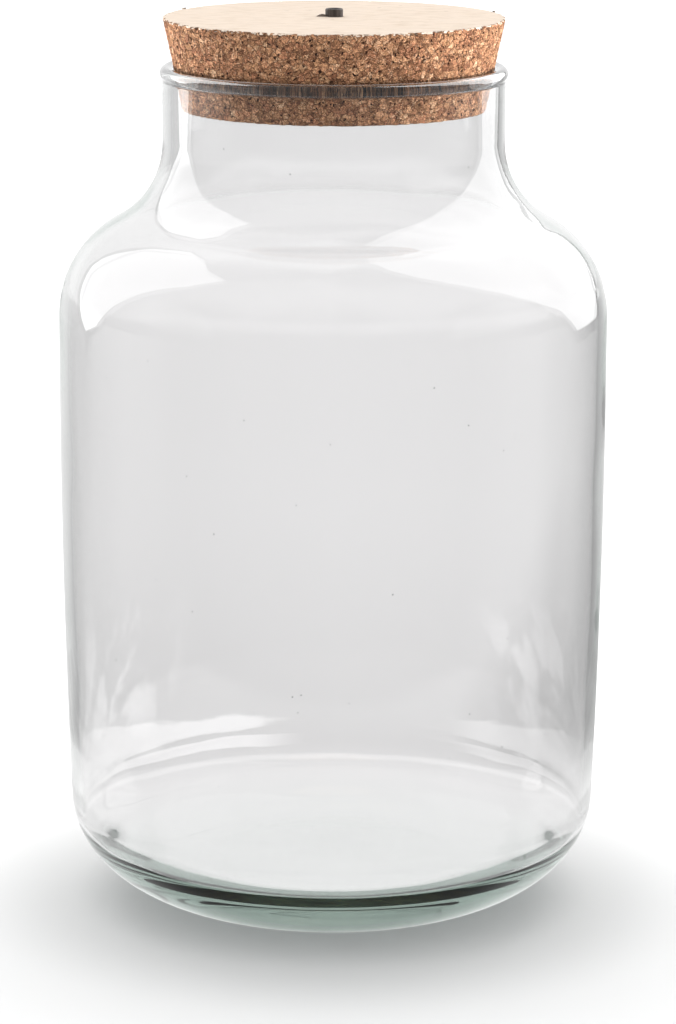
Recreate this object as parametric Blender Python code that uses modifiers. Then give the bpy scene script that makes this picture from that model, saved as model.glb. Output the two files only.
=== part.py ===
"""Glass terrarium jar with a tapered cork stopper.

The jar is one piece of blown glass with a foot ring round a shallow kick-up, a thick base dished
inside, a slightly barrelled wall, an S-shaped shoulder, a straight neck and a fire-polished rim.
The stopper's taper seats on the rim's inner edge, and a short dark plug closes the hole drilled
through the stopper's middle.
Metres, +Z up, with the origin on the ground at the centre of the foot.
"""

import math

import bpy

# Jar, outside
JAR_HEIGHT = 0.309
BODY_RADIUS = 0.100
WIDEST_HEIGHT = 0.191
WALL_DRAW_IN = 0.0029
CORNER_HEIGHT = 0.0387
FOOT_RADIUS = 0.045
FOOT_RING_WIDTH = 0.008
SHOULDER_HEIGHT = 0.2183
SHOULDER_SHARE = 0.55
NECK_HEIGHT = 0.2818
NECK_RADIUS = 0.062

# Jar, glass thickness
WALL = 0.0035
BASE_THICKNESS = 0.0145
KICK_UP = 0.001
FLOOR_DISH = 0.0045
FLOOR_SLOPE = math.radians(14)
CORNER_ROUND = 0.0155
RIM_SWELL_OUT = 0.0009
RIM_SWELL_IN = 0.0006

# Stopper
STOPPER_PROUD = 0.0175
STOPPER_DROP = 0.0152
STOPPER_SLOPE = math.radians(12.1)
STOPPER_EDGE = 0.0008
SEAT_GAP = 0.0003

# Plug
PLUG_RADIUS = 0.0032
PLUG_PROUD = 0.003
PLUG_EDGE = 0.0005
PLUG_GAP = 0.0003

# Facets
JAR_STEPS = 56
PLUG_STEPS = 24
MERGE = 0.00001

# Rim bead: a round as wide as the wall and both swellings
RIM_ROUND = (WALL + RIM_SWELL_OUT + RIM_SWELL_IN) / 2
RIM_CENTRE_RADIUS = NECK_RADIUS + RIM_SWELL_OUT - RIM_ROUND
RIM_CENTRE_HEIGHT = JAR_HEIGHT - RIM_ROUND

# Shoulder: two arcs that meet at one slope, the outward one taking its share of their summed radii
SHOULDER_STEP = BODY_RADIUS - NECK_RADIUS
SHOULDER_RISE = NECK_HEIGHT - SHOULDER_HEIGHT
ROUNDS_SUM = (SHOULDER_STEP ** 2 + SHOULDER_RISE ** 2) / (2 * SHOULDER_STEP)
SHOULDER_ROUND = ROUNDS_SUM * SHOULDER_SHARE
NECK_ROUND = ROUNDS_SUM - SHOULDER_ROUND
SHOULDER_SLOPE = math.degrees(math.atan2(SHOULDER_RISE, ROUNDS_SUM - SHOULDER_STEP))

# Wall radius where the wall meets the rounded base corner
WALL_FOOT_RADIUS = BODY_RADIUS - WALL_DRAW_IN

# Inside of the base: a shallow dish that slopes up to the round inside corner
FLOOR_HEIGHT = KICK_UP + BASE_THICKNESS
FLOOR_ROUND = FLOOR_DISH / (1 - math.cos(FLOOR_SLOPE))
CORNER_TOP = FLOOR_HEIGHT + FLOOR_DISH + CORNER_ROUND * math.cos(FLOOR_SLOPE)

# Stopper's place, from the rim that it seats on
STOPPER_TOP = JAR_HEIGHT + STOPPER_PROUD
STOPPER_BOTTOM = JAR_HEIGHT - STOPPER_DROP
STOPPER_SEAT_RADIUS = RIM_CENTRE_RADIUS - (RIM_ROUND + SEAT_GAP) / math.cos(STOPPER_SLOPE)
HOLE_RADIUS = PLUG_RADIUS + PLUG_GAP


def clear_scene():
    """Remove whatever the open file holds."""
    for item in list(bpy.data.objects):
        bpy.data.objects.remove(item, do_unlink=True)


def arc(centre, radii, start, end, steps):
    """Points (radius, height) along an ellipse round centre, from start to end degrees."""
    points = []
    for step in range(steps + 1):
        angle = math.radians(start + (end - start) * step / steps)
        points.append((centre[0] + radii[0] * math.cos(angle), centre[1] + radii[1] * math.sin(angle)))
    return points


def mound(edge_radius, edge_height, rise, steps):
    """A smooth rise from a ring to the axis, listed from the ring inwards."""
    points = []
    for step in range(steps + 1):
        share = 1 - step / steps
        height = edge_height + rise * (1 + math.cos(math.pi * share)) / 2
        points.append((edge_radius * share, height))
    return points


def wall_radius(height):
    """Outer radius of the barrelled wall: widest part way up, and drawn in towards the foot."""
    below = max(0, WIDEST_HEIGHT - height) / (WIDEST_HEIGHT - CORNER_HEIGHT)
    return BODY_RADIUS - WALL_DRAW_IN * below ** 2


def side(inset, foot_height, steps):
    """Neck, shoulder and wall from the rim's foot down to foot_height, inset into the glass."""
    neck_centre = (NECK_RADIUS + NECK_ROUND, NECK_HEIGHT)
    shoulder_centre = (BODY_RADIUS - SHOULDER_ROUND, SHOULDER_HEIGHT)
    neck_round = NECK_ROUND + inset
    shoulder_round = SHOULDER_ROUND - inset
    points = arc(neck_centre, (neck_round, neck_round), 180, 180 + SHOULDER_SLOPE, steps)
    points += arc(shoulder_centre, (shoulder_round, shoulder_round), SHOULDER_SLOPE, 0, steps)[1:]
    drop = SHOULDER_HEIGHT - foot_height
    for step in range(1, steps):
        height = SHOULDER_HEIGHT - drop * step / steps
        points.append((wall_radius(height) - inset, height))
    return points


def inside_base():
    """Inside of the base, from the wall round the corner and down the dish to its level middle."""
    slope = math.degrees(FLOOR_SLOPE)
    centre_radius = wall_radius(CORNER_TOP) - WALL - CORNER_ROUND
    level_radius = centre_radius - (FLOOR_ROUND - CORNER_ROUND) * math.sin(FLOOR_SLOPE)
    corner = arc((centre_radius, CORNER_TOP), (CORNER_ROUND, CORNER_ROUND), 0, slope - 90, 8)
    dish_centre = (level_radius, FLOOR_HEIGHT + FLOOR_ROUND)
    return corner + arc(dish_centre, (FLOOR_ROUND, FLOOR_ROUND), slope - 90, -90, 4)[1:]


def jar_profile():
    """The glass in section, from the floor's middle, up inside, over the rim and down outside."""
    rim = arc(
        (RIM_CENTRE_RADIUS, RIM_CENTRE_HEIGHT),
        (RIM_ROUND, RIM_ROUND),
        180 + math.degrees(math.acos(1 - RIM_SWELL_IN / RIM_ROUND)),
        -math.degrees(math.acos(1 - RIM_SWELL_OUT / RIM_ROUND)),
        11,
    )
    outer_corner = arc(
        (FOOT_RADIUS, CORNER_HEIGHT),
        (WALL_FOOT_RADIUS - FOOT_RADIUS, CORNER_HEIGHT),
        0, -90, 10,
    )
    underside = mound(FOOT_RADIUS - FOOT_RING_WIDTH, 0, KICK_UP, 3)
    inside = [(0, FLOOR_HEIGHT)] + inside_base()[::-1] + side(WALL, CORNER_TOP, 6)[::-1]
    return inside + rim + side(0, CORNER_HEIGHT, 7) + outer_corner + underside


def stopper_radius(height):
    """Radius of the stopper's tapered side at a height above the ground."""
    return STOPPER_SEAT_RADIUS + (height - RIM_CENTRE_HEIGHT) * math.tan(STOPPER_SLOPE)


def stopper_profile():
    """The cork in section, a closed outline round the hole, measured from the stopper's underside."""
    height = STOPPER_TOP - STOPPER_BOTTOM
    return [
        (HOLE_RADIUS, height),
        (stopper_radius(STOPPER_TOP), height),
        (stopper_radius(STOPPER_BOTTOM), 0),
        (HOLE_RADIUS, 0),
    ]


def plug_profile():
    """Half of the plug in section, measured from its lower end."""
    height = STOPPER_TOP - STOPPER_BOTTOM + PLUG_PROUD
    return [(0, height), (PLUG_RADIUS, height), (PLUG_RADIUS, 0), (0, 0)]


def make_material(name, colour, roughness, transmission=0.0):
    """A plain surface finish with one colour."""
    material = bpy.data.materials.new(name)
    material.use_nodes = True
    shader = material.node_tree.nodes["Principled BSDF"]
    shader.inputs["Base Color"].default_value = (*colour, 1)
    shader.inputs["Roughness"].default_value = roughness
    shader.inputs["Metallic"].default_value = 0
    shader.inputs["Transmission Weight"].default_value = transmission
    material.diffuse_color = (*colour, 1)
    return material


def turn(name, profile, closed, steps, material, collection):
    """An object turned round the vertical axis from points (radius, height)."""
    count = len(profile)
    edges = [(index, index + 1) for index in range(count - 1)]
    if closed:
        edges.append((count - 1, 0))
    mesh = bpy.data.meshes.new(name)
    mesh.from_pydata([(radius, 0, height) for radius, height in profile], edges, [])
    mesh.materials.append(material)
    piece = bpy.data.objects.new(name, mesh)
    collection.objects.link(piece)
    screw = piece.modifiers.new("Turn", "SCREW")
    screw.axis = "Z"
    screw.steps = steps
    screw.render_steps = steps
    screw.use_merge_vertices = True
    screw.merge_threshold = MERGE
    screw.use_smooth_shade = True
    return piece


def round_edges(piece, width):
    """Round the sharp rings of a turned piece and keep its flats shading flat."""
    bevel = piece.modifiers.new("Rounded edges", "BEVEL")
    bevel.width = width
    bevel.segments = 2
    bevel.limit_method = "ANGLE"
    bevel.angle_limit = math.radians(40)
    piece.modifiers.new("Even shading", "WEIGHTED_NORMAL")


def make_jar(collection):
    """The blown glass jar."""
    glass = make_material("clear_glass", (0.86, 0.93, 0.90), 0.02, 1.0)
    return turn("glass_jar", jar_profile(), False, JAR_STEPS, glass, collection)


def make_stopper(collection, jar):
    """The cork stopper, seated on the rim's inner edge, with its origin under it on the jar's axis."""
    cork = make_material("agglomerated_cork", (0.62, 0.43, 0.27), 0.85)
    stopper = turn("cork_stopper", stopper_profile(), True, JAR_STEPS, cork, collection)
    round_edges(stopper, STOPPER_EDGE)
    stopper.parent = jar
    stopper.location = (0, 0, STOPPER_BOTTOM)
    return stopper


def make_plug(collection, stopper):
    """The dark plug that fills the stopper's hole and stands a little proud of it."""
    rubber = make_material("dark_rubber", (0.03, 0.022, 0.02), 0.3)
    plug = turn("hole_plug", plug_profile(), False, PLUG_STEPS, rubber, collection)
    round_edges(plug, PLUG_EDGE)
    plug.parent = stopper
    return plug


def main():
    clear_scene()
    collection = bpy.data.collections.new("glass_terrarium")
    bpy.context.scene.collection.children.link(collection)
    jar = make_jar(collection)
    stopper = make_stopper(collection, jar)
    make_plug(collection, stopper)


main()
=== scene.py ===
"""Looks of a glass terrarium jar with a cork stopper and a small dark plug in the stopper."""
import math

import bpy
from mathutils import Matrix, Vector


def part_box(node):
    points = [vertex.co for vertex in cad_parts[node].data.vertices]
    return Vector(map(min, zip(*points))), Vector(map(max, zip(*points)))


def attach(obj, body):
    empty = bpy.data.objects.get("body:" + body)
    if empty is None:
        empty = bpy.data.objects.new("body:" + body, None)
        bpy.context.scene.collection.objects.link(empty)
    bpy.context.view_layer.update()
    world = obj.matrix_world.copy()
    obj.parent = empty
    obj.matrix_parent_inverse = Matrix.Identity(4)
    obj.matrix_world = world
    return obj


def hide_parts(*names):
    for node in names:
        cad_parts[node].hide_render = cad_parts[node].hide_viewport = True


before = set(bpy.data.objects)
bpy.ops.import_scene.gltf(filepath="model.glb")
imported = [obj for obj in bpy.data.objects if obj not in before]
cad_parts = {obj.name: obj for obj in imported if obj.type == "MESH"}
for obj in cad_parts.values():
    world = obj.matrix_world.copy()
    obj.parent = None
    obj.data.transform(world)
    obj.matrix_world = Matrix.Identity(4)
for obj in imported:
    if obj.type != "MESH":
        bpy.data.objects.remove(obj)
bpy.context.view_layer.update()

# Photograph's camera: image height and focal length in its pixels, place, tilt and limits of sight
PHOTO_HEIGHT = 1024
FOCAL_PIXELS = 3970
SENSOR = 36
CAMERA_PLACE = Vector((0.0020, -1.4304, 0.4690))
CAMERA_PITCH = math.radians(12.8)
CAMERA_ROLL = math.radians(0.2)
CAMERA_NEAR = 0.05
CAMERA_FAR = 100

# Jar sizes, overall ones from the frame
JAR_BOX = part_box("glass_jar")
JAR_HEIGHT = JAR_BOX[1][2]
BODY_RADIUS = JAR_BOX[1][0]
WIDEST_HEIGHT = 0.191
WALL_DRAW_IN = 0.0029
CORNER_HEIGHT = 0.0387
FOOT_RADIUS = 0.045
FOOT_RING_WIDTH = 0.008
SHOULDER_HEIGHT = 0.2183
SHOULDER_SHARE = 0.55
NECK_HEIGHT = 0.2818
NECK_RADIUS = 0.062
WALL = 0.0035
BASE_THICKNESS = 0.0145
KICK_UP = 0.001
FLOOR_DISH = 0.0045
FLOOR_SLOPE = math.radians(14)
CORNER_ROUND = 0.0155
RIM_SWELL_OUT = 0.0009
RIM_SWELL_IN = 0.0006

# The underside rises less than the kick-up of the solid, which mirrors a dark smudge into the jar's floor
UNDERSIDE_RISE = 0.0002

RIM_ROUND = (WALL + RIM_SWELL_OUT + RIM_SWELL_IN) / 2
RIM_CENTRE_RADIUS = NECK_RADIUS + RIM_SWELL_OUT - RIM_ROUND
RIM_CENTRE_HEIGHT = JAR_HEIGHT - RIM_ROUND
SHOULDER_STEP = BODY_RADIUS - NECK_RADIUS
SHOULDER_RISE = NECK_HEIGHT - SHOULDER_HEIGHT
ROUNDS_SUM = (SHOULDER_STEP ** 2 + SHOULDER_RISE ** 2) / (2 * SHOULDER_STEP)
SHOULDER_ROUND = ROUNDS_SUM * SHOULDER_SHARE
NECK_ROUND = ROUNDS_SUM - SHOULDER_ROUND
SHOULDER_SLOPE = math.degrees(math.atan2(SHOULDER_RISE, ROUNDS_SUM - SHOULDER_STEP))
WALL_FOOT_RADIUS = BODY_RADIUS - WALL_DRAW_IN
NECK_STRAIGHT = RIM_CENTRE_HEIGHT - RIM_ROUND - NECK_HEIGHT
FLOOR_HEIGHT = KICK_UP + BASE_THICKNESS
FLOOR_ROUND = FLOOR_DISH / (1 - math.cos(FLOOR_SLOPE))
CORNER_TOP = FLOOR_HEIGHT + FLOOR_DISH + CORNER_ROUND * math.cos(FLOOR_SLOPE)

# Stopper and plug, overall sizes from the frame
CORK_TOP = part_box("cork_stopper")[1][2]
CORK_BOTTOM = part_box("cork_stopper")[0][2]
CORK_SLOPE = math.radians(12.1)
CORK_EDGE = 0.0003
SEAT_GAP = 0.0003
SEAT_RADIUS = RIM_CENTRE_RADIUS - (RIM_ROUND + SEAT_GAP) / math.cos(CORK_SLOPE)
PLUG_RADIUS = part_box("hole_plug")[1][0]
PLUG_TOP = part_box("hole_plug")[1][2]
PLUG_GAP = 0.0003
HOLE_RADIUS = PLUG_RADIUS + PLUG_GAP
PLUG_EDGE = 0.0005
PLUG_LIP = 0.0006
PLUG_LIP_SLOPE = 0.0002
PLUG_LIP_ROUND = 0.0001
PLUG_RECESS = 0.0004

# How finely each piece is turned, and each stretch of its section divided
JAR_TURNS = 192
CORK_TURNS = 600
PLUG_TURNS = 96
SIDE_STEPS = 20
INNER_CORNER_STEPS = 30
DISH_STEPS = 24
FLOOR_STEPS = 14
RIM_STEPS = 22
OUTER_CORNER_STEPS = 28
UNDERSIDE_STEPS = 12
NECK_SHARES = (0.99, 0.97, 0.94, 0.88, 0.75, 0.5, 0.25, 0.05)
CORK_EDGE_STEPS = 2
CORK_SIDE_STEPS = 60
CORK_TOP_STEPS = 28
CORK_FOOT_STEPS = 24
HOLE_STEPS = 10
NEAR_HOLE = 0.003
NEAR_HOLE_STEPS = 12
NEAR_EDGE = 0.004
NEAR_EDGE_STEPS = 7
PLUG_RECESS_STEPS = 5
PLUG_EDGE_STEPS = 6
PLUG_SIDE_STEPS = 12
PLUG_FOOT_STEPS = 4
MERGE = 0.00001
SPECK = 0.001

# Gentle waves inside the jar from blowing, and how far below the neck they fade out
WAVE_SIZE = 0.03
WAVE_DEPTH = 0.00022
WAVE_FADE = 0.02

# Cork relief: size or spacing of granules, grit, pits and chips, and how deep each is pressed in
GRANULE_SIZE = 0.0026
GRANULE_SEAM = 0.00035
GRIT_SIZE = 0.0007
GRIT_DEPTH = 0.00022
PIT_SPACING = 0.0034
PIT_DEPTH = 0.0006
CHIP_SPACING = 0.003
CHIP_DEPTH = 0.0016
CHIP_REACH = 0.0016

# Torn cork at the hole: a leaning flake to its left, a low lip in front, and ripples in both
CRUMB_HEIGHT = 0.0014
FLAKE_ACROSS = -0.0035
FLAKE_BACK = -0.0012
FLAKE_LEAN = 0.25
FLAKE_TOP = 1.2
FLAKE_HALF_WIDTH = 0.0013
FLAKE_MIDDLE = -0.0042
FLAKE_LONG_TOP = 1.4
FLAKE_HALF_LENGTH = 0.0018
LIP_SHARE = 0.4
LIP_MIDDLE = HOLE_RADIUS + 0.0004
LIP_HALF_WIDTH = 0.0007
RIPPLE_SHARE = 0.25
RIPPLES_ACROSS = 5200
RIPPLES_BACK = 4300

# Glass: its refraction, the green that it takes where it is thick, the tint of the body, and painted shade
# that darkens the neck
GLASS_IOR = 1.51
GREEN = (0.45, 0.57, 0.515, 1)
GREEN_DENSITY = 12
BODY_TINT = (0.99, 0.98, 0.985)
# Painted shade that darkens the glass of the neck
NECK_PAINTED_SHADE = (0.945, 0.937, 0.942)
NECK_SHADE_SPAN = (0.2575, 0.2605)

# Tiny dark seeds: spacing, radius as a share of it, and which of the places hold one
SEED_SPACING = 0.012
SEED_RADIUS_SHARES = (0.018, 0.034)
SEED_CHOICE_SHARES = (0.55, 0.56)
SEED_TINT = (0.35, 0.35, 0.35)

# Brighter gloss on the bead, and a little of it beside the cork
BEAD_SPAN = (JAR_HEIGHT - 2 * RIM_ROUND - 0.0005, JAR_HEIGHT - 2 * RIM_ROUND + 0.001)
BESIDE_CORK_SPAN = (CORK_BOTTOM - 0.001, CORK_BOTTOM + 0.002)
BESIDE_CORK_COAT = 0.12
COAT_IOR = 2.1

# Light that falls through the glass: how much body, neck and bead let pass
BODY_PASSES = (0.66, 0.67, 0.67)
NECK_PASSES = (0.94, 0.94, 0.94)
BEAD_PASSES = (0.3, 0.3, 0.3)

# Light goes to and fro many times inside the thick base
LIGHT_BOUNCES = 28

# Cork patterns: features to the metre, how far the outlines are bent, and size of a small granule
WARP_SCALE = 700
WARP_REACH = 0.0022
SMALL_GRANULE_SIZE = GRANULE_SIZE / 2.3
LARGE_TONE_SHARE = 0.55
FINE_SCALE = 2600
HOLE_SCALE = 520
FLECK_SCALE = 900
SANDED_SCALES = (150, 420, 200)
SPECK_SCALE = 0.8
CORK_ROUGHNESS = 0.85
CORK_SHINE = 0.25
CORK_BUMP = 0.0007

# Cork colours, in ramps from dark to pale and for single marks
GRANULE_TONES = (
    (0.1, (0.22, 0.095, 0.05)), (0.32, (0.36, 0.165, 0.088)), (0.48, (0.49, 0.22, 0.12)),
    (0.62, (0.55, 0.285, 0.15)), (0.8, (0.65, 0.35, 0.2)), (0.95, (0.8, 0.52, 0.33)),
)
GRAIN_TONES = (
    (0.28, (0.35, 0.31, 0.28)), (0.44, (0.85, 0.83, 0.82)), (0.56, (1.1, 1.1, 1.1)), (0.72, (2.1, 2.05, 2.0)),
)
# Sanded faces are paler than the side, as sanded cork is, and paler still by painted light from above
SANDED_TONES_WITH_PAINTED_LIGHT = ((0.3, (0.76, 0.63, 0.50)), (0.46, (0.85, 0.725, 0.60)), (0.7, (0.89, 0.765, 0.645)))
OCHRE = (0.42, 0.25, 0.12)
# Dark joints between granules, with painted shade in the creases
SEAM_BROWN_AND_SHADE = (0.07, 0.03, 0.018)
# Painted shade in the small holes
PAINTED_HOLE_SHADE = (0.03, 0.012, 0.008)
# Pale flecks, partly pale cork and partly painted glints
FLECK_BUFF_AND_GLINT = (0.68, 0.45, 0.3)
# Painted shade where the surface was moved furthest, in pits, chips and torn crumbs
PAINTED_DEPTH_SHADE = (0.05, 0.022, 0.014)
SPECK_BROWN = (0.22, 0.15, 0.1)
# Painted shade on the torn cork round the plug's hole
TORN_PAINTED_SHADE = (0.06, 0.04, 0.03)

# Sanded faces of the cork: thickness of the pale skin, and how ragged it ends at the upper edge
SKIN = (0.0001, 0.0004)
RAGGED_FROM = 0.0014
RAGGED_TO = 0.0004
RAGGED_HEIGHT = 0.0015
TORN_RISE = (0.0001, 0.0003)

# Rubber: scales of upright bands and dust, its colours and bump
BAND_SCALES = (1400, 1400, 90)
DUST_SCALE = 2400
RUBBER_TONES = ((0.3, (0.035, 0.026, 0.023)), (0.7, (0.085, 0.068, 0.06)))
DUST_GREY = (0.16, 0.13, 0.11)
RUBBER_BUMP = 0.0001

# Screens that the glass mirrors: outlines across, to the right as the jar sees them, and up
SCREEN_TURN = 118
SCREEN_DISTANCE = 1.0
FRAME_DISTANCE = 1.01
SCREEN_BASE = 0.24
LEFT_SCREEN = (
    (-0.13, -0.06), (-0.24, 0.12), (-0.35, 0.36), (-0.48, 0.65), (-0.7, 1.15), (-0.9, 2.1), (-0.35, 1.65),
    (0.05, 1.55), (0.32, 1.3), (0.37, 0.85), (0.34, 0.55), (0.34, 0.27), (0.2, 0.04), (0.02, -0.15),
)
RIGHT_SCREEN = (
    (0.02, -0.12), (0.3, 0.22), (0.52, 0.57), (0.72, 1.03), (0.88, 1.8), (0.95, 3.0), (0.6, 4.5),
    (-0.45, 5.2), (-1.1, 3.9), (-1.4, 2.4), (-1.3, 1.4), (-1.1, 0.85), (-0.88, 0.52), (-0.84, 0.32),
    (-0.7, 0.16), (-0.53, 0.05), (-0.36, -0.12),
)
LEFT_FRAME_WIDTH = 0.06
RIGHT_FRAME_WIDTH = 0.07

# Brightness of screens and frames where mirrored and where seen through the glass, and at a foot
LEFT_GLOW = (2.4, 1.2)
RIGHT_GLOW = (2.2, 1.1)
LEFT_FRAME_GLOW = (0.3, 0.3)
RIGHT_FRAME_GLOW = (0.2, 0.2)
LEFT_FOOT_GLOW = 1.6
FOOT_SPAN = (-0.05, 0.1)

# Brightness by bearing: 0 and 1 are the camera's side, 0.5 is straight behind, left is under 0.5
FLOOR_LEVELS = (
    (0.0, 0.1), (0.19, 0.2), (0.258, 0.65), (0.315, 0.7), (0.345, 0.5), (0.375, 0.5), (0.41, 0.75),
    (0.45, 0.9), (0.5, 0.97), (0.535, 0.95), (0.578, 0.5), (0.611, 0.38), (0.667, 0.38), (0.742, 0.4),
    (0.8, 0.15),
)
ROOM_LEVELS = (
    (0.0, 0.1), (0.2, 0.15), (0.26, 0.3), (0.33, 0.6), (0.36, 1.0), (0.5, 1.0), (0.6, 1.0), (0.61, 0.5),
    (0.72, 0.1),
)
CAMERA_SIDE_SPAN = (math.radians(82), math.radians(100))

# Floor: size, small drop under the foot, finish, painted shadow near the jar, and its own glow near the jar
# and far away
FLOOR_RADIUS = 30
FLOOR_DROP = 0.0002
FLOOR_CORNERS = 64
FLOOR_ROUGHNESS = 0.9
NEAR_PAINTED_SHADOW = ((0.1, 0.15), (0.72, 0.82))
NEAR_GLOW = ((0.05, 0.108), (0.075, 0.0))
FAR_GLOW = ((0.5, 1.8), (0.0, 0.4))

# Floor as the glass sees it, with painted light and painted shadow, in spans of reach from the jar's axis and
# levels at their ends
UNDER_JAR = ((0.06, 0.2), (1.05, 0.87))
# Painted shadow in front of the jar, where the glass sees the floor
IN_FRONT = ((-0.08, -0.03), (0.3, 1.0))
NEAR_TO_FAR = (0.13, 0.3)
FURTHER_OFF = (
    ((0.1, 0.7), (0.885, 0.985)),
    ((0.9, 1.6), (1.0, 1.035)),
    ((1.2, 1.45), (1.0, 1.06)),
    ((1.5, 1.75), (1.0, 0.97)),
)

# Bright marks on that floor: a ring, a swaying band in two stretches, and streaks beside the middle
RING_REACH = 0.149
RING_MARK = ((0.003, 0.011), (0.12, 0.0))
BAND_REACH = 0.212
BAND_MARK = ((0.024, 0.032), (0.3, 0.0))
BAND_SWAY = 0.045
SWAY_SCALE = 28
BAND_LEFT = ((-0.04, -0.01), (1.0, 0.0))
BAND_RIGHT = ((0.05, 0.075), (0.0, 0.8))
STREAK_SCALES = (55, 7, 1)
STREAK_MARK = ((0.47, 0.6), (0.0, 0.24))
STREAKS_FROM = (0.2, 0.26)
STREAKS_TO = (0.3, 0.5)
STREAKS_ASIDE = (0.07, 0.1)

# Room as the glass sees it: a ceiling light towards the back and a dim window at each side
CEILING_SPAN = (0.86, 0.94)
CEILING_BACK = ((0.0, 0.3), (0.1, 1.0))
WINDOW_ASIDE = ((0.7, 0.8), (0.0, 0.4))
WINDOW_FOOT = (0.1, 0.16)
WINDOW_HEAD = (0.45, 0.55)

# Room light that falls on matt surfaces, from the camera's side to the back
ROOM_LIGHT = ((-0.9, 0.3), (0.75, 1.35))

# Soft lights that fall on the stopper's side: azimuth in degrees and radiance
STOPPER_FILLS = (("right_side", 99, 41), ("left_side", -130, 49), ("front_side", -10, 3))
FILL_DISTANCE = 1.2
FILL_WIDTH = 0.9

# Soft light that falls on the floor alone
FLOOR_FILL_PLACE = (0, 1.3, 1.9)
FLOOR_FILL_LEAN = math.radians(-34)
FLOOR_FILL_SIZE = (3.2, 2.4)
FLOOR_FILL_RADIANCE = 1.5

# A mix node's sockets for colours
MIX_COLOURS_IN = (6, 7)
MIX_COLOUR_OUT = 2


class Tree:
    """A node tree with short ways to add and join nodes. What they take may be plain values or sockets."""

    def __init__(self, tree):
        self.nodes = tree.nodes
        self.links = tree.links

    def put(self, value, socket):
        """Feed a socket from another one, or set its plain value."""
        if isinstance(value, bpy.types.NodeSocket):
            self.links.new(value, socket)
        else:
            socket.default_value = value

    def add(self, kind, inputs, **settings):
        """A shader node of a kind, with its settings and inputs."""
        node = self.nodes.new("ShaderNode" + kind)
        for name, value in settings.items():
            setattr(node, name, value)
        for name, value in inputs.items():
            self.put(value, node.inputs[name])
        return node

    def noise(self, vector, scale, detail, **more):
        """A noise texture."""
        return self.add("TexNoise", {"Vector": vector, "Scale": scale, "Detail": detail, **more})

    def cells(self, vector, scale, **settings):
        """A texture of irregular cells."""
        return self.add("TexVoronoi", {"Vector": vector, "Scale": scale}, **settings)

    def stretched(self, vector, scales):
        """Places with their own scale along each axis."""
        return self.add("Mapping", {"Vector": vector, "Scale": scales}).outputs["Vector"]

    def channel(self, colour, name):
        """One channel of a colour."""
        return self.add("SeparateColor", {"Color": colour}).outputs[name]

    def axes(self, vector):
        """A vector's X, Y and Z by name."""
        return self.add("SeparateXYZ", {"Vector": vector}).outputs

    def length(self, vector):
        """How long a vector is."""
        return self.add("VectorMath", {0: vector}, operation="LENGTH").outputs["Value"]

    def unsigned(self, value):
        """A value without its sign."""
        return self.add("Math", {0: value}, operation="ABSOLUTE").outputs["Value"]

    def join(self, operation, first, *others):
        """Values put together one after another by a math operation."""
        for other in others:
            first = self.add("Math", {0: first, 1: other}, operation=operation).outputs["Value"]
        return first

    def fade(self, value, span, levels=(0.0, 1.0)):
        """A smooth change from one level to the other as a value crosses a span."""
        inputs = {"Value": value, "From Min": span[0], "From Max": span[1]}
        inputs.update({"To Min": levels[0], "To Max": levels[1]})
        return self.add("MapRange", inputs, interpolation_type="SMOOTHSTEP").outputs["Result"]

    def level(self, factor, first, second):
        """From the first value to the second, by a factor."""
        inputs = {"Factor": factor, "A": first, "B": second}
        return self.add("Mix", inputs, data_type="FLOAT").outputs["Result"]

    def blend(self, factor, first, second, way="MIX"):
        """Two colours blended."""
        node = self.add("Mix", {"Factor": factor}, data_type="RGBA", blend_type=way)
        for index, colour in zip(MIX_COLOURS_IN, (first, second)):
            plain = not isinstance(colour, bpy.types.NodeSocket)
            self.put((*colour, 1) if plain else colour, node.inputs[index])
        return node.outputs[MIX_COLOUR_OUT]

    def ramp(self, value, stops):
        """Colours that follow a value, as (position, colour) stops."""
        node = self.add("ValToRGB", {"Fac": value})
        elements = node.color_ramp.elements
        while len(elements) < len(stops):
            elements.new(0.5)
        for element, (position, colour) in zip(elements, stops):
            element.position = position
            element.color = (*colour, 1)
        return node.outputs["Color"]

    def either(self, factor, first, second):
        """The first shader or the second, by a factor."""
        return self.add("MixShader", {"Fac": factor, 1: first, 2: second}).outputs["Shader"]

    def show(self, shader):
        """Put a shader out as the material's surface."""
        self.put(shader, self.nodes["Material Output"].inputs["Surface"])


def new_material(name):
    """A material with its tree and its shader's inputs."""
    material = bpy.data.materials.new(name)
    material.use_nodes = True
    tree = Tree(material.node_tree)
    return material, tree, tree.nodes["Principled BSDF"].inputs


def deselect():
    """Nothing selected and nothing active, so that an operator acts only on what comes next."""
    if bpy.context.object and bpy.context.object.mode != "OBJECT":
        bpy.ops.object.mode_set(mode="OBJECT")
    bpy.ops.object.select_all(action="DESELECT")


def between(start, end, steps):
    """Evenly spaced values from start to end, with both ends."""
    return [start + (end - start) * step / steps for step in range(steps + 1)]


def arc(centre, radii, start, end, steps):
    """Points (radius, height) along an ellipse round centre, from start to end degrees."""
    points = []
    for step in range(steps + 1):
        angle = math.radians(start + (end - start) * step / steps)
        points.append((centre[0] + radii[0] * math.cos(angle), centre[1] + radii[1] * math.sin(angle)))
    return points


def mound(edge_radius, rise, steps):
    """A smooth rise from a ring on the ground to the axis, listed from the ring inwards."""
    points = []
    for step in range(steps + 1):
        share = 1 - step / steps
        points.append((edge_radius * share, rise * (1 + math.cos(math.pi * share)) / 2))
    return points


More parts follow.
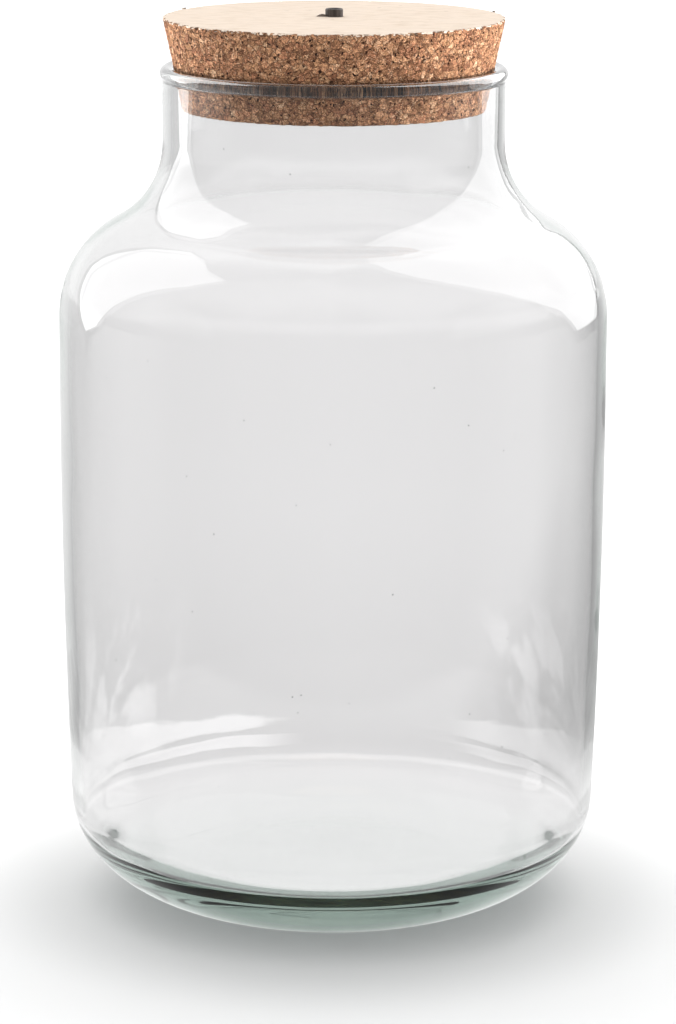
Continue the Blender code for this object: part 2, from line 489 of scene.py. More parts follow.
def turned(name, section, turns):
    """A closed shape spun round the vertical axis from a line that one vertex is pulled along."""
    deselect()
    bpy.ops.mesh.primitive_plane_add(size=SPECK, location=(section[0][0], 0, section[0][1]))
    piece = bpy.context.object
    piece.name = name
    bpy.ops.object.transform_apply(location=True, rotation=True, scale=True)
    bpy.ops.object.mode_set(mode="EDIT")
    bpy.ops.mesh.select_all(action="SELECT")
    bpy.ops.mesh.merge(type="CENTER")
    for here, there in zip(section, section[1:]):
        pull = (there[0] - here[0], 0, there[1] - here[1])
        bpy.ops.mesh.extrude_vertices_move(TRANSFORM_OT_translate={"value": pull})
    bpy.ops.mesh.select_all(action="SELECT")
    bpy.ops.mesh.spin(steps=turns, angle=math.tau, center=(0, 0, 0), axis=(0, 0, 1))
    bpy.ops.mesh.select_all(action="SELECT")
    bpy.ops.mesh.remove_doubles(threshold=MERGE)
    bpy.ops.mesh.normals_make_consistent(inside=False)
    bpy.ops.object.mode_set(mode="OBJECT")
    bpy.ops.object.shade_smooth()
    return piece


def relief(name, kind, size, stops):
    """A texture for pressing a surface in, whose stops give how much stays at each of its values."""
    texture = bpy.data.textures.new(name, kind)
    texture.noise_scale = size
    texture.use_color_ramp = True
    elements = texture.color_ramp.elements
    while len(elements) < len(stops):
        elements.new(0.5)
    for element, (position, stays) in zip(elements, stops):
        element.position = position
        element.color = (stays, stays, stays, 1)
    return texture


def press_in(piece, texture, depth, group):
    """Press the vertices of a group in along their normals, by depth where the texture is dark."""
    push = piece.modifiers.new(texture.name, "DISPLACE")
    push.texture = texture
    push.texture_coords = "LOCAL"
    push.strength = depth
    push.mid_level = 1
    push.vertex_group = group
    bpy.ops.object.modifier_apply(modifier=push.name)


def weigh(piece, name, weight_at):
    """A vertex group whose weights come from each vertex's place."""
    group = piece.vertex_groups.new(name=name)
    for vertex in piece.data.vertices:
        weight = weight_at(vertex.co)
        if weight > 0:
            group.add([vertex.index], min(1, weight), "REPLACE")


def wall_radius(height):
    """Outer radius of the barrelled wall."""
    below = max(0, WIDEST_HEIGHT - height) / (WIDEST_HEIGHT - CORNER_HEIGHT)
    return BODY_RADIUS - WALL_DRAW_IN * below ** 2


def side(inset, foot_height):
    """Neck, shoulder and wall from the rim's foot down to foot_height, inset into the glass."""
    neck_centre = (NECK_RADIUS + NECK_ROUND, NECK_HEIGHT)
    shoulder_centre = (BODY_RADIUS - SHOULDER_ROUND, SHOULDER_HEIGHT)
    neck_round = NECK_ROUND + inset
    shoulder_round = SHOULDER_ROUND - inset
    points = [(NECK_RADIUS - inset, NECK_HEIGHT + NECK_STRAIGHT * share) for share in NECK_SHARES]
    points += arc(neck_centre, (neck_round, neck_round), 180, 180 + SHOULDER_SLOPE, SIDE_STEPS)
    points += arc(shoulder_centre, (shoulder_round, shoulder_round), SHOULDER_SLOPE, 0, SIDE_STEPS)[1:]
    for height in between(SHOULDER_HEIGHT, foot_height, SIDE_STEPS)[1:-1]:
        points.append((wall_radius(height) - inset, height))
    return points


def inside_base():
    """Inside of the base, from the wall round the corner and down the dish to its level middle."""
    slope = math.degrees(FLOOR_SLOPE)
    centre_radius = wall_radius(CORNER_TOP) - WALL - CORNER_ROUND
    level_radius = centre_radius - (FLOOR_ROUND - CORNER_ROUND) * math.sin(FLOOR_SLOPE)
    corner_centre = (centre_radius, CORNER_TOP)
    dish_centre = (level_radius, FLOOR_HEIGHT + FLOOR_ROUND)
    corner = arc(corner_centre, (CORNER_ROUND, CORNER_ROUND), 0, slope - 90, INNER_CORNER_STEPS)
    return corner + arc(dish_centre, (FLOOR_ROUND, FLOOR_ROUND), slope - 90, -90, DISH_STEPS)[1:]


def glass_section():
    """The glass in section, from the floor's middle, up inside, over the rim and down outside."""
    rim = arc(
        (RIM_CENTRE_RADIUS, RIM_CENTRE_HEIGHT),
        (RIM_ROUND, RIM_ROUND),
        180 + math.degrees(math.acos(1 - RIM_SWELL_IN / RIM_ROUND)),
        -math.degrees(math.acos(1 - RIM_SWELL_OUT / RIM_ROUND)),
        RIM_STEPS,
    )
    outer_corner = arc(
        (FOOT_RADIUS, CORNER_HEIGHT),
        (WALL_FOOT_RADIUS - FOOT_RADIUS, CORNER_HEIGHT),
        0, -90, OUTER_CORNER_STEPS,
    )
    underside = mound(FOOT_RADIUS - FOOT_RING_WIDTH, UNDERSIDE_RISE, UNDERSIDE_STEPS)
    base = inside_base()
    middle = [(radius, FLOOR_HEIGHT) for radius in between(0, base[-1][0], FLOOR_STEPS)[:-1]]
    inside = middle + base[::-1] + side(WALL, CORNER_TOP)[::-1]
    return inside + rim + side(0, CORNER_HEIGHT) + outer_corner + underside


def inside_jar(place):
    """1 on the inner side of base and wall, fading out towards the neck."""
    radius = math.hypot(place.x, place.y)
    if place.z < FLOOR_HEIGHT / 2 or place.z > NECK_HEIGHT or radius > wall_radius(place.z) - WALL / 2:
        return 0
    beyond_foot = max(0, radius - FOOT_RADIUS) / (WALL_FOOT_RADIUS - FOOT_RADIUS)
    below_corner = max(0, CORNER_HEIGHT - place.z) / CORNER_HEIGHT
    outer_side_share = 0.92
    if place.z < CORNER_HEIGHT and beyond_foot ** 2 + below_corner ** 2 > outer_side_share:
        return 0
    return min(1, (NECK_HEIGHT - place.z) / WAVE_FADE)


def seeded(tree, place, tint_and_shade):
    """A tint with tiny dark seeds in some of its cells."""
    seeds = tree.cells(place, 1 / SEED_SPACING)
    seed = tree.fade(seeds.outputs["Distance"], SEED_RADIUS_SHARES, (1.0, 0.0))
    chosen = tree.fade(tree.channel(seeds.outputs["Color"], "Red"), SEED_CHOICE_SHARES)
    return tree.blend(tree.join("MULTIPLY", seed, chosen), tint_and_shade, SEED_TINT)


def glass_material():
    """Clear soda glass, greener the further light goes through it, with painted shade darkening the neck.
    Light that falls through is dimmed.
    """
    material, tree, shader = new_material("clear_glass")
    place = tree.add("TexCoord", {}).outputs["Object"]
    height = tree.axes(place)["Z"]
    bead = tree.fade(height, BEAD_SPAN)
    beside_cork = tree.fade(height, BESIDE_CORK_SPAN, (0.0, BESIDE_CORK_COAT))
    tint_and_shade = tree.blend(tree.fade(height, NECK_SHADE_SPAN), BODY_TINT, NECK_PAINTED_SHADE)
    tree.put(seeded(tree, place, tint_and_shade), shader["Base Color"])
    tree.put(tree.join("MAXIMUM", beside_cork, bead), shader["Coat Weight"])
    shader["Coat IOR"].default_value = COAT_IOR
    shader["Coat Roughness"].default_value = 0.0
    shader["Roughness"].default_value = 0.0
    shader["IOR"].default_value = GLASS_IOR
    shader["Transmission Weight"].default_value = 1

    passes = tree.blend(tree.fade(height, (SHOULDER_HEIGHT, NECK_HEIGHT)), BODY_PASSES, NECK_PASSES)
    passes = tree.blend(bead, passes, BEAD_PASSES)
    dimmed = tree.add("BsdfTransparent", {"Color": passes}).outputs["BSDF"]
    path = tree.add("LightPath", {}).outputs
    falls = tree.join("MAXIMUM", path["Is Shadow Ray"], path["Is Diffuse Ray"])
    tree.show(tree.either(falls, tree.nodes["Principled BSDF"].outputs["BSDF"], dimmed))
    green = tree.add("VolumeAbsorption", {"Color": GREEN, "Density": GREEN_DENSITY}).outputs["Volume"]
    tree.put(green, tree.nodes["Material Output"].inputs["Volume"])
    return material


def make_jar():
    """The blown jar, a little uneven inside."""
    jar = turned("glass_jar_fine", glass_section(), JAR_TURNS)
    weigh(jar, "inside", inside_jar)
    waves = relief("waves", "CLOUDS", WAVE_SIZE, ((0, 0), (1, 1)))
    waves.noise_depth = 1
    press_in(jar, waves, -WAVE_DEPTH, "inside")
    jar.vertex_groups.clear()
    jar.data.materials.append(glass_material())
    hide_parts("glass_jar")
    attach(jar, "jar")


def cork_radius(height):
    """Radius of the stopper's tapered side at a height above the ground."""
    return SEAT_RADIUS + (height - RIM_CENTRE_HEIGHT) * math.tan(CORK_SLOPE)


def cork_section():
    """The stopper in section, closed: out over the top, down the side, in below and up the hole."""
    edge_top = CORK_TOP - CORK_EDGE
    edge_bottom = CORK_BOTTOM + CORK_EDGE
    rim_inside = cork_radius(edge_top) - CORK_EDGE
    foot_inside = cork_radius(edge_bottom) - CORK_EDGE
    near_hole = HOLE_RADIUS + NEAR_HOLE
    near_edge = rim_inside - NEAR_EDGE
    over = between(HOLE_RADIUS, near_hole, NEAR_HOLE_STEPS)
    over += between(near_hole, near_edge, CORK_TOP_STEPS)[1:]
    over += between(near_edge, rim_inside, NEAR_EDGE_STEPS)[1:-1]
    round_edge = (CORK_EDGE, CORK_EDGE)
    section = [(radius, CORK_TOP) for radius in over]
    section += arc((rim_inside, edge_top), round_edge, 90, 0, CORK_EDGE_STEPS)
    down = between(edge_top, edge_bottom, CORK_SIDE_STEPS)[1:]
    section += [(cork_radius(height), height) for height in down]
    section += arc((foot_inside, edge_bottom), round_edge, 0, -90, CORK_EDGE_STEPS)[1:]
    section += [(radius, CORK_BOTTOM) for radius in between(foot_inside, HOLE_RADIUS, CORK_FOOT_STEPS)[1:]]
    return section + [(HOLE_RADIUS, height) for height in between(CORK_BOTTOM, CORK_TOP, HOLE_STEPS)[1:]]


def on_side(place):
    """1 on the stopper's tapered side and its edges, 0 on its flat faces and in its hole."""
    inwards = cork_radius(place.z) - math.hypot(place.x, place.y)
    return 1 if inwards < CORK_EDGE * 1.5 else 0


def near_top_edge(place):
    """1 at the stopper's upper edge, fading out over top and side."""
    across = cork_radius(CORK_TOP) - math.hypot(place.x, place.y)
    away = math.hypot(across, CORK_TOP - place.z)
    return 1 - away / CHIP_REACH


def hole_crumbs(place):
    """How high the torn cork at the hole stands: a flake to its left and a low lip in front of it."""
    if place.z < CORK_TOP - CORK_EDGE / 2:
        return 0
    off_line = place.y - FLAKE_BACK + FLAKE_LEAN * (place.x - FLAKE_ACROSS)
    flake = FLAKE_TOP - abs(off_line) / FLAKE_HALF_WIDTH
    flake = min(flake, FLAKE_LONG_TOP - abs(place.x - FLAKE_MIDDLE) / FLAKE_HALF_LENGTH)
    lip = 1 - abs(math.hypot(place.x, place.y) - LIP_MIDDLE) / LIP_HALF_WIDTH
    lip = LIP_SHARE * lip * max(0, -math.sin(math.atan2(place.y, place.x)))
    ripple = math.sin(RIPPLES_ACROSS * place.x) * math.sin(RIPPLES_BACK * place.y + 1)
    return max(0, flake, lip) * (1 - RIPPLE_SHARE + RIPPLE_SHARE * ripple)


def store_depth(piece, before):
    """Keep how far each vertex was moved, in millimetres, for the material's painted shade."""
    depth = piece.data.attributes.new("depth", "FLOAT", "POINT")
    for vertex, place, value in zip(piece.data.vertices, before, depth.data):
        value.value = (vertex.co - place).length * 1000


def bent_place(tree, place):
    """Places moved about by a fine noise, so that granules have ragged outlines."""
    warp = tree.noise(place, WARP_SCALE, 2).outputs["Color"]
    warp = tree.add("VectorMath", {0: warp, 1: (0.5, 0.5, 0.5)}, operation="SUBTRACT").outputs["Vector"]
    warp = tree.add("VectorMath", {0: warp, "Scale": WARP_REACH}, operation="SCALE").outputs["Vector"]
    return tree.add("VectorMath", {0: place, 1: warp}, operation="ADD").outputs["Vector"]


def granule_colour(tree, tone, small_tone):
    """Colour of each granule, from the random tones of large and small cells."""
    large = tree.join("MULTIPLY", tree.channel(tone, "Red"), LARGE_TONE_SHARE)
    small = tree.join("MULTIPLY", tree.channel(small_tone, "Red"), 1 - LARGE_TONE_SHARE)
    granules = tree.ramp(tree.join("ADD", large, small), GRANULE_TONES)
    return tree.blend(tree.join("MULTIPLY", tree.channel(tone, "Green"), 0.35), granules, OCHRE)


def granule_seams(tree, bent):
    """0 in the seams round large granules, half that in those round small ones, 1 between."""
    edges = tree.cells(bent, 1 / GRANULE_SIZE, feature="DISTANCE_TO_EDGE").outputs["Distance"]
    small_edges = tree.cells(bent, 1 / SMALL_GRANULE_SIZE, feature="DISTANCE_TO_EDGE").outputs["Distance"]
    return tree.join(
        "MULTIPLY", tree.fade(edges, (0.0, 0.08), (0.2, 1.0)), tree.fade(small_edges, (0.0, 0.1), (0.5, 1.0)),
    )


def granule_holes(tree, bent):
    """1 in small holes that some cells have."""
    holes = tree.cells(bent, HOLE_SCALE)
    chosen = tree.fade(tree.channel(holes.outputs["Color"], "Green"), (0.35, 0.45))
    return tree.join("MULTIPLY", tree.fade(holes.outputs["Distance"], (0.17, 0.28), (1.0, 0.0)), chosen)


def side_colour(tree, bent, fine, granules, seams, holes):
    """Granules with fine grain, dark seams with painted shade in the creases, painted shade in holes, pale
    flecks with painted glints, and painted shade where the surface was moved far.
    """
    colour = tree.blend(1, granules, tree.ramp(fine, GRAIN_TONES), "MULTIPLY")
    colour = tree.blend(seams, SEAM_BROWN_AND_SHADE, colour)
    colour = tree.blend(holes, colour, PAINTED_HOLE_SHADE)
    flecks = tree.cells(bent, FLECK_SCALE).outputs["Distance"]
    colour = tree.blend(tree.fade(flecks, (0.12, 0.26), (0.6, 0.0)), colour, FLECK_BUFF_AND_GLINT)
    moved_depth = tree.add("Attribute", {}, attribute_name="depth").outputs["Fac"]
    return tree.blend(tree.fade(moved_depth, (0.3, 0.8), (0.0, 0.75)), colour, PAINTED_DEPTH_SHADE)


def sanded_share(tree, place, height, small_tone):
    """1 on the sanded top and underside, which end in a ragged line at the upper edge, 0 on the side."""
    across = tree.add("VectorMath", {0: place, 1: (1, 1, 0)}, operation="MULTIPLY").outputs["Vector"]
    rim = cork_radius(CORK_TOP)
    ragged = tree.fade(tree.length(across), (rim - RAGGED_FROM, rim - RAGGED_TO), (0.0, RAGGED_HEIGHT))
    uneven = tree.join("SUBTRACT", tree.channel(small_tone, "Green"), 0.5)
    torn = tree.join("ADD", height, tree.join("MULTIPLY", ragged, uneven))
    above = tree.fade(torn, (CORK_TOP - SKIN[1], CORK_TOP - SKIN[0]))
    below = tree.fade(height, (CORK_BOTTOM + SKIN[0], CORK_BOTTOM + SKIN[1]), (1.0, 0.0))
    return tree.join("MAXIMUM", above, below)


def sanded_colour(tree, place, height, granules):
    """Pale streaks, paler still by painted light from above, with a hint of the granules, a few dark specks,
    and torn cork that stands up with painted shade.
    """
    flat = tree.stretched(place, SANDED_SCALES)
    pale = tree.ramp(tree.noise(flat, 1, 3).outputs["Fac"], SANDED_TONES_WITH_PAINTED_LIGHT)
    colour = tree.blend(0.08, pale, granules)
    specks = tree.cells(flat, SPECK_SCALE)
    chosen = tree.fade(tree.channel(specks.outputs["Color"], "Red"), (0.86, 0.9))
    speck = tree.join("MULTIPLY", tree.fade(specks.outputs["Distance"], (0.06, 0.13), (0.8, 0.0)), chosen)
    colour = tree.blend(speck, colour, SPECK_BROWN)
    # Torn cork that stands up takes painted shade
    torn_up = tree.fade(height, (CORK_TOP + TORN_RISE[0], CORK_TOP + TORN_RISE[1]), (0.0, 0.9))
    return tree.blend(torn_up, colour, TORN_PAINTED_SHADE)


def cork_material():
    """Pressed cork granules with dark seams and holes, both with painted shade, pale flecks with painted
    glints, and a sanded top that is much paler, partly by painted light from above.
    """
    material, tree, shader = new_material("agglomerated_cork")
    place = tree.add("TexCoord", {}).outputs["Object"]
    height = tree.axes(place)["Z"]
    bent = bent_place(tree, place)
    fine = tree.noise(place, FINE_SCALE, 3, Roughness=0.6).outputs["Fac"]
    tone = tree.cells(bent, 1 / GRANULE_SIZE).outputs["Color"]
    small_tone = tree.cells(bent, 1 / SMALL_GRANULE_SIZE).outputs["Color"]
    granules = granule_colour(tree, tone, small_tone)
    seams = granule_seams(tree, bent)
    holes = granule_holes(tree, bent)
    sanded = sanded_share(tree, place, height, small_tone)
    rough = side_colour(tree, bent, fine, granules, seams, holes)
    smooth = sanded_colour(tree, place, height, granules)
    tree.put(tree.blend(sanded, rough, smooth), shader["Base Color"])
    shader["Roughness"].default_value = CORK_ROUGHNESS
    shader["Specular IOR Level"].default_value = CORK_SHINE
    rise = tree.join("SUBTRACT", tree.join("MULTIPLY", seams, 0.6), holes)
    rise = tree.join("ADD", rise, tree.join("MULTIPLY", fine, 0.6))
    rise = tree.join("MULTIPLY", rise, tree.join("SUBTRACT", 1.08, sanded))
    bump = tree.add("Bump", {"Height": rise, "Strength": 1.0, "Distance": CORK_BUMP})
    tree.put(bump.outputs["Normal"], shader["Normal"])
    return material


def make_cork():
    """The stopper: granules and pits pressed into the side, chips at the upper edge, crumbs at the hole."""
    cork = turned("cork_stopper_fine", cork_section(), CORK_TURNS)
    before = [vertex.co.copy() for vertex in cork.data.vertices]
    weigh(cork, "side", on_side)
    weigh(cork, "edge", near_top_edge)
    weigh(cork, "hole", hole_crumbs)
    granules = relief("granules", "VORONOI", GRANULE_SIZE, ((0, 0), (0.16, 0.75), (0.45, 1)))
    granules.weight_1 = -1
    granules.weight_2 = 1
    granules.noise_intensity = 2
    press_in(cork, granules, GRANULE_SEAM, "side")
    grit = relief("grit", "CLOUDS", GRIT_SIZE, ((0.2, 0), (0.8, 1)))
    press_in(cork, grit, GRIT_DEPTH, "side")
    pits = relief("pits", "VORONOI", PIT_SPACING, ((0, 0), (0.13, 0.1), (0.22, 1)))
    press_in(cork, pits, PIT_DEPTH, "side")
    chips = relief("chips", "VORONOI", CHIP_SPACING, ((0, 0), (0.2, 0.2), (0.3, 1)))
    press_in(cork, chips, CHIP_DEPTH, "edge")
    crumbs = relief("crumbs", "CLOUDS", GRIT_SIZE, ((0, 0.3), (1, 0)))
    press_in(cork, crumbs, -CRUMB_HEIGHT, "hole")
    cork.vertex_groups.clear()
    store_depth(cork, before)
    cork.data.materials.append(cork_material())
    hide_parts("cork_stopper")
    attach(cork, "stopper")


def plug_section():
    """Half of the plug in section, from the middle of its recessed top to the middle of its foot."""
    land = PLUG_RADIUS - PLUG_EDGE
    recess = land - PLUG_LIP
    lip = recess + PLUG_LIP_SLOPE
    edge_top = PLUG_TOP - PLUG_EDGE
    edge_bottom = CORK_BOTTOM + PLUG_EDGE
    round_edge = (PLUG_EDGE, PLUG_EDGE)
    section = [(radius, PLUG_TOP - PLUG_RECESS) for radius in between(0, recess, PLUG_RECESS_STEPS)]
    section += [(lip, PLUG_TOP - PLUG_RECESS / 3), (lip + PLUG_LIP_ROUND, PLUG_TOP)]
    section += arc((land, edge_top), round_edge, 90, 0, PLUG_EDGE_STEPS)
    section += [(PLUG_RADIUS, height) for height in between(edge_top, edge_bottom, PLUG_SIDE_STEPS)[1:]]
    section += arc((land, edge_bottom), round_edge, 0, -90, PLUG_EDGE_STEPS)[1:]
    return section + [(radius, CORK_BOTTOM) for radius in between(land, 0, PLUG_FOOT_STEPS)[1:]]


def rubber_material():
    """Dark satin rubber, a little dusty, with faint upright bands round its side."""
    material, tree, shader = new_material("dark_rubber")
    place = tree.add("TexCoord", {}).outputs["Object"]
    bands = tree.noise(tree.stretched(place, BAND_SCALES), 1, 2).outputs["Fac"]
    dust = tree.noise(place, DUST_SCALE, 3).outputs["Fac"]
    dusty = tree.fade(dust, (0.55, 0.8), (0.0, 0.4))
    tree.put(tree.blend(dusty, tree.ramp(bands, RUBBER_TONES), DUST_GREY), shader["Base Color"])
    tree.put(tree.fade(dust, (0.3, 0.7), (0.38, 0.6)), shader["Roughness"])
    bump = tree.add("Bump", {"Height": dust, "Strength": 0.3, "Distance": RUBBER_BUMP})
    tree.put(bump.outputs["Normal"], shader["Normal"])
    return material


def make_plug():
    """The short dark plug in the stopper's hole."""
    plug = turned("hole_plug_fine", plug_section(), PLUG_TURNS)
    plug.data.materials.append(rubber_material())
    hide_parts("hole_plug")
    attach(plug, "plug")


def through_glass(tree):
    """1 for light seen through the glass or mirrored in it, 0 for what the camera sees direct."""
    path = tree.add("LightPath", {}).outputs
    return tree.join("MAXIMUM", path["Is Glossy Ray"], path["Is Transmission Ray"])


def bearing(tree, axes):
    """Angle round the jar, 0 straight behind it and half a turn either way at the camera's side."""
    return tree.join("ARCTAN2", axes["X"], axes["Y"])


def levels_round(tree, axes, levels):
    """Brightness by bearing round the jar, which levels give as (share of the turn, brightness)."""
    share = tree.join("ADD", tree.join("MULTIPLY", bearing(tree, axes), 1 / math.tau), 0.5)
    return tree.ramp(share, [(place, (level, level, level)) for place, level in levels])


def clear_from_behind(tree, axes):
    """1 on the camera's side for light that no glass has mirrored, so that the jar is clear from behind."""
    camera_side = tree.fade(tree.unsigned(bearing(tree, axes)), CAMERA_SIDE_SPAN)
    mirrored = tree.add("LightPath", {}).outputs["Glossy Depth"]
    return tree.join("MULTIPLY", camera_side, tree.fade(mirrored, (0.25, 0.75), (1.0, 0.0)))


def bright_marks(tree, place, axes, reach, cleared):
    """How much brighter the floor is at marks behind the jar, which its base bends into lines."""
    ring = tree.fade(tree.unsigned(tree.join("SUBTRACT", reach, RING_REACH)), *RING_MARK)
    sway = tree.join("MULTIPLY", tree.noise(place, SWAY_SCALE, 4).outputs["Fac"], BAND_SWAY)
    off_band = tree.join("SUBTRACT", tree.join("ADD", reach, sway), BAND_SWAY / 2, BAND_REACH)
    sides = tree.join("ADD", tree.fade(axes["X"], *BAND_LEFT), tree.fade(axes["X"], *BAND_RIGHT))
    band = tree.join("MULTIPLY", tree.fade(tree.unsigned(off_band), *BAND_MARK), sides)
    streaks = tree.noise(tree.stretched(place, STREAK_SCALES), 1, 3).outputs["Fac"]
    streak = tree.join(
        "MULTIPLY",
        tree.fade(streaks, *STREAK_MARK),
        tree.fade(reach, STREAKS_FROM),
        tree.fade(reach, STREAKS_TO, (1.0, 0.0)),
        tree.fade(tree.unsigned(axes["X"]), STREAKS_ASIDE),
    )
    marks = tree.join("MULTIPLY", tree.join("ADD", ring, band, streak), tree.join("SUBTRACT", 1.0, cleared))
    return tree.join("ADD", marks, 1.0)


def floor_seen(tree, place, reach):
    """Brightness of the floor where it is seen through the glass or mirrored in it."""
    axes = tree.axes(place)
    cleared = clear_from_behind(tree, axes)
    front = tree.join("MAXIMUM", tree.fade(axes["Y"], *IN_FRONT), cleared)
    near = tree.join("MULTIPLY", tree.fade(reach, *UNDER_JAR), front)
    by_bearing = tree.join("MAXIMUM", levels_round(tree, axes, FLOOR_LEVELS), cleared)
    further = tree.join("MULTIPLY", *(tree.fade(reach, *fade) for fade in FURTHER_OFF))
    far = tree.join("MULTIPLY", by_bearing, further)
    level = tree.level(tree.fade(reach, NEAR_TO_FAR), near, far)
    return tree.join("MULTIPLY", level, bright_marks(tree, place, axes, reach, cleared))


def make_floor():
    """Plain pale floor with painted shadow near the jar, and with its own levels where it is seen through the
    glass or mirrored in it.
    """
    deselect()
    bpy.ops.mesh.primitive_circle_add(
        vertices=FLOOR_CORNERS, radius=FLOOR_RADIUS, fill_type="NGON", location=(0, 0, -FLOOR_DROP),
    )
    floor = bpy.context.object
    floor.name = "floor"
    material, tree, shader = new_material("pale_floor")
    place = tree.add("TexCoord", {}).outputs["Object"]
    reach = tree.length(place)
    shader["Roughness"].default_value = FLOOR_ROUGHNESS
    shader["Specular IOR Level"].default_value = 0.0
    shader["Emission Color"].default_value = (1, 1, 1, 1)
    glow = tree.join("ADD", tree.fade(reach, *FAR_GLOW), tree.fade(reach, *NEAR_GLOW))
    tree.put(glow, shader["Emission Strength"])
    # Painted shadow on the floor round the jar's foot
    tree.put(tree.fade(reach, *NEAR_PAINTED_SHADOW), shader["Base Color"])
    seen = tree.add("Emission", {"Strength": floor_seen(tree, place, reach)}).outputs["Emission"]
    direct = tree.nodes["Principled BSDF"].outputs["BSDF"]
    tree.show(tree.either(through_glass(tree), direct, seen))
    floor.data.materials.append(material)


def facing_jar(azimuth, distance, height):
    """Place and turn of something upright that faces the jar, azimuth 0 being the camera's side."""
    angle = math.radians(azimuth)
    place = Vector((distance * math.sin(angle), -distance * math.cos(angle), height))
    turn = Vector((-place.x, -place.y, 0)).to_track_quat("-Z", "Y").to_matrix().to_4x4()
    return Matrix.Translation(place) @ turn


def screen(name, azimuth, distance, outline, glow, foot_glow=1.0):
    """A glowing screen that only the glass sees. Its outline is across, to the jar's right, and up."""
    deselect()
    bpy.ops.mesh.primitive_circle_add(vertices=len(outline), fill_type="NGON")
    piece = bpy.context.object
    piece.name = name
    for vertex, (across, up) in zip(piece.data.vertices, outline):
        vertex.co = (-across, up, 0)
    piece.matrix_world = facing_jar(azimuth, distance, SCREEN_BASE)
    material, tree = new_material(name)[:2]
    tree.nodes.remove(tree.nodes["Principled BSDF"])
    mirrored, seen_through = glow
    level = tree.level(tree.add("LightPath", {}).outputs["Is Transmission Ray"], mirrored, seen_through)
    up_screen = tree.axes(tree.add("TexCoord", {}).outputs["Object"])["Y"]
    graded = tree.join("MULTIPLY", tree.fade(up_screen, FOOT_SPAN, (foot_glow, 1.0)), level)
    tree.show(tree.add("Emission", {"Strength": graded}).outputs["Emission"])
    piece.data.materials.append(material)
    piece.visible_camera = False
    piece.visible_diffuse = False
    piece.visible_shadow = False


def wider(outline, margin):
    """An outline pushed out by a margin from its middle."""
    middle = sum((Vector(point) for point in outline), Vector((0, 0))) / len(outline)
    grown = []
    for point in outline:
        away = Vector(point) - middle
        grown.append(tuple(middle + away * (1 + margin / away.length)))
    return grown


def fill(name, place, size, radiance, receivers):
    """A soft light that falls on its receivers alone and that nothing mirrors."""
    data = bpy.data.lights.new(name, "AREA")
    data.shape = "RECTANGLE"
    data.size, data.size_y = size
    data.energy = radiance * data.size * data.size_y * math.pi
    light = bpy.data.objects.new(name, data)
    bpy.context.scene.collection.objects.link(light)
    light.matrix_world = place
    light.visible_camera = False
    light.visible_glossy = False
    light.visible_transmission = False
    lit = bpy.data.collections.new(name + "_receivers")
    for piece in receivers:
        lit.objects.link(bpy.data.objects[piece])
    light.light_linking.receiver_collection = lit


def room_seen(tree, axes):
    """Brightness of the room where it is seen through the glass or mirrored in it."""
    ceiling = tree.join("MULTIPLY", tree.fade(axes["Z"], CEILING_SPAN), tree.fade(axes["Y"], *CEILING_BACK))
    window = tree.join(
        "MULTIPLY",
        tree.fade(tree.unsigned(axes["X"]), *WINDOW_ASIDE),
        tree.fade(axes["Z"], WINDOW_FOOT),
        tree.fade(axes["Z"], WINDOW_HEAD, (1.0, 0.0)),
    )
    by_bearing = levels_round(tree, axes, ROOM_LEVELS)
    return tree.join("MAXIMUM", by_bearing, ceiling, window, clear_from_behind(tree, axes))


def make_world():
    """A bright surround that is darker at the front, with its own level for each kind of ray."""
    world = bpy.data.worlds.new("studio")
    bpy.context.scene.world = world
    world.use_nodes = True
    tree = Tree(world.node_tree)
    axes = tree.axes(tree.add("TexCoord", {}).outputs["Generated"])
    fallen = tree.fade(axes["Y"], *ROOM_LIGHT)
    direct = tree.level(tree.add("LightPath", {}).outputs["Is Diffuse Ray"], 1.0, fallen)
    background = tree.nodes["Background"].inputs
    background["Color"].default_value = (1, 1, 1, 1)
    tree.put(tree.level(through_glass(tree), direct, room_seen(tree, axes)), background["Strength"])


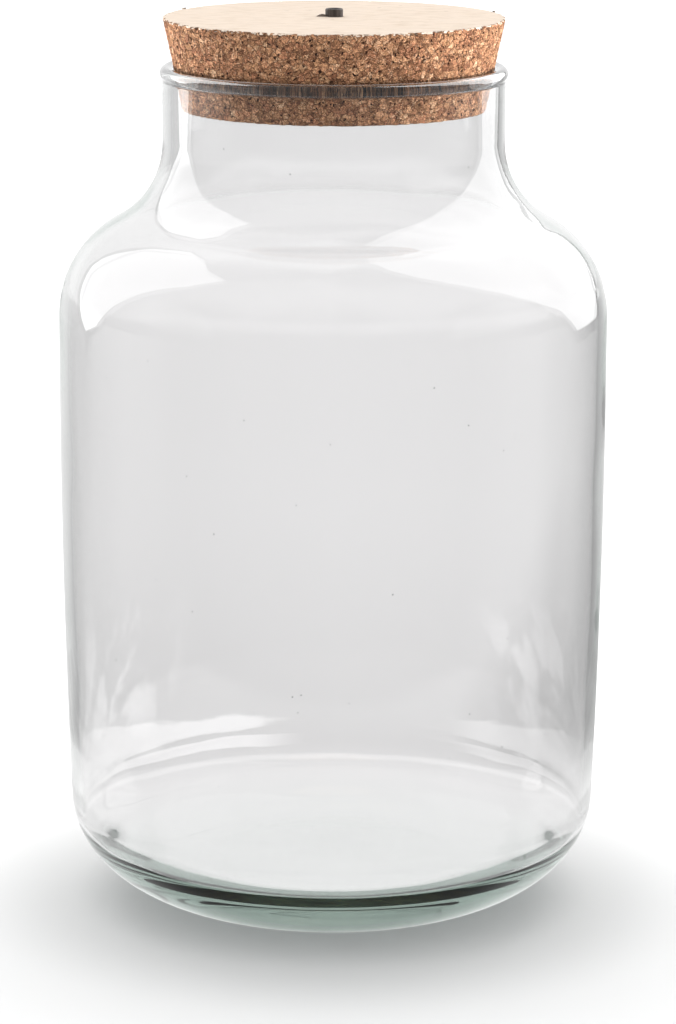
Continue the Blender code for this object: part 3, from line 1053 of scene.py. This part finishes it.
def make_lights():
    """Screens with dark frames that the glass mirrors at both sides, and soft light on stopper and floor."""
    left_frame = wider(LEFT_SCREEN, LEFT_FRAME_WIDTH)
    right_frame = wider(RIGHT_SCREEN, RIGHT_FRAME_WIDTH)
    screen("left_screen", -SCREEN_TURN, SCREEN_DISTANCE, LEFT_SCREEN, LEFT_GLOW, LEFT_FOOT_GLOW)
    screen("left_frame", -SCREEN_TURN, FRAME_DISTANCE, left_frame, LEFT_FRAME_GLOW)
    screen("right_screen", SCREEN_TURN, SCREEN_DISTANCE, RIGHT_SCREEN, RIGHT_GLOW)
    screen("right_frame", SCREEN_TURN, FRAME_DISTANCE, right_frame, RIGHT_FRAME_GLOW)
    stopper = ("cork_stopper_fine", "hole_plug_fine")
    for name, azimuth, radiance in STOPPER_FILLS:
        place = facing_jar(azimuth, FILL_DISTANCE, CORK_TOP / 2)
        fill(name, place, (FILL_WIDTH, CORK_TOP), radiance, stopper)
    above = Matrix.Translation(FLOOR_FILL_PLACE) @ Matrix.Rotation(FLOOR_FILL_LEAN, 4, "X")
    fill("floor_fill", above, FLOOR_FILL_SIZE, FLOOR_FILL_RADIANCE, ("floor",))


def make_camera():
    """The photograph's camera."""
    right = Vector((1, 0, 0))
    up = Vector((0, math.sin(CAMERA_PITCH), math.cos(CAMERA_PITCH)))
    ahead = Vector((0, math.cos(CAMERA_PITCH), -math.sin(CAMERA_PITCH)))
    rolled_right = right * math.cos(CAMERA_ROLL) + up * math.sin(CAMERA_ROLL)
    rolled_up = up * math.cos(CAMERA_ROLL) - right * math.sin(CAMERA_ROLL)
    data = bpy.data.cameras.new("camera")
    data.sensor_width = SENSOR
    data.lens = FOCAL_PIXELS / PHOTO_HEIGHT * SENSOR
    data.clip_start = CAMERA_NEAR
    data.clip_end = CAMERA_FAR
    camera = bpy.data.objects.new("camera", data)
    bpy.context.scene.collection.objects.link(camera)
    turn = Matrix((rolled_right, rolled_up, -ahead)).transposed().to_4x4()
    camera.matrix_world = Matrix.Translation(CAMERA_PLACE) @ turn
    bpy.context.scene.camera = camera


make_camera()
make_floor()
make_world()
make_jar()
make_cork()
make_plug()
make_lights()
bpy.context.scene.view_settings.view_transform = "Standard"
bpy.context.scene.cycles.max_bounces = LIGHT_BOUNCES
bpy.context.scene.cycles.glossy_bounces = LIGHT_BOUNCES
bpy.context.scene.cycles.transmission_bounces = LIGHT_BOUNCES
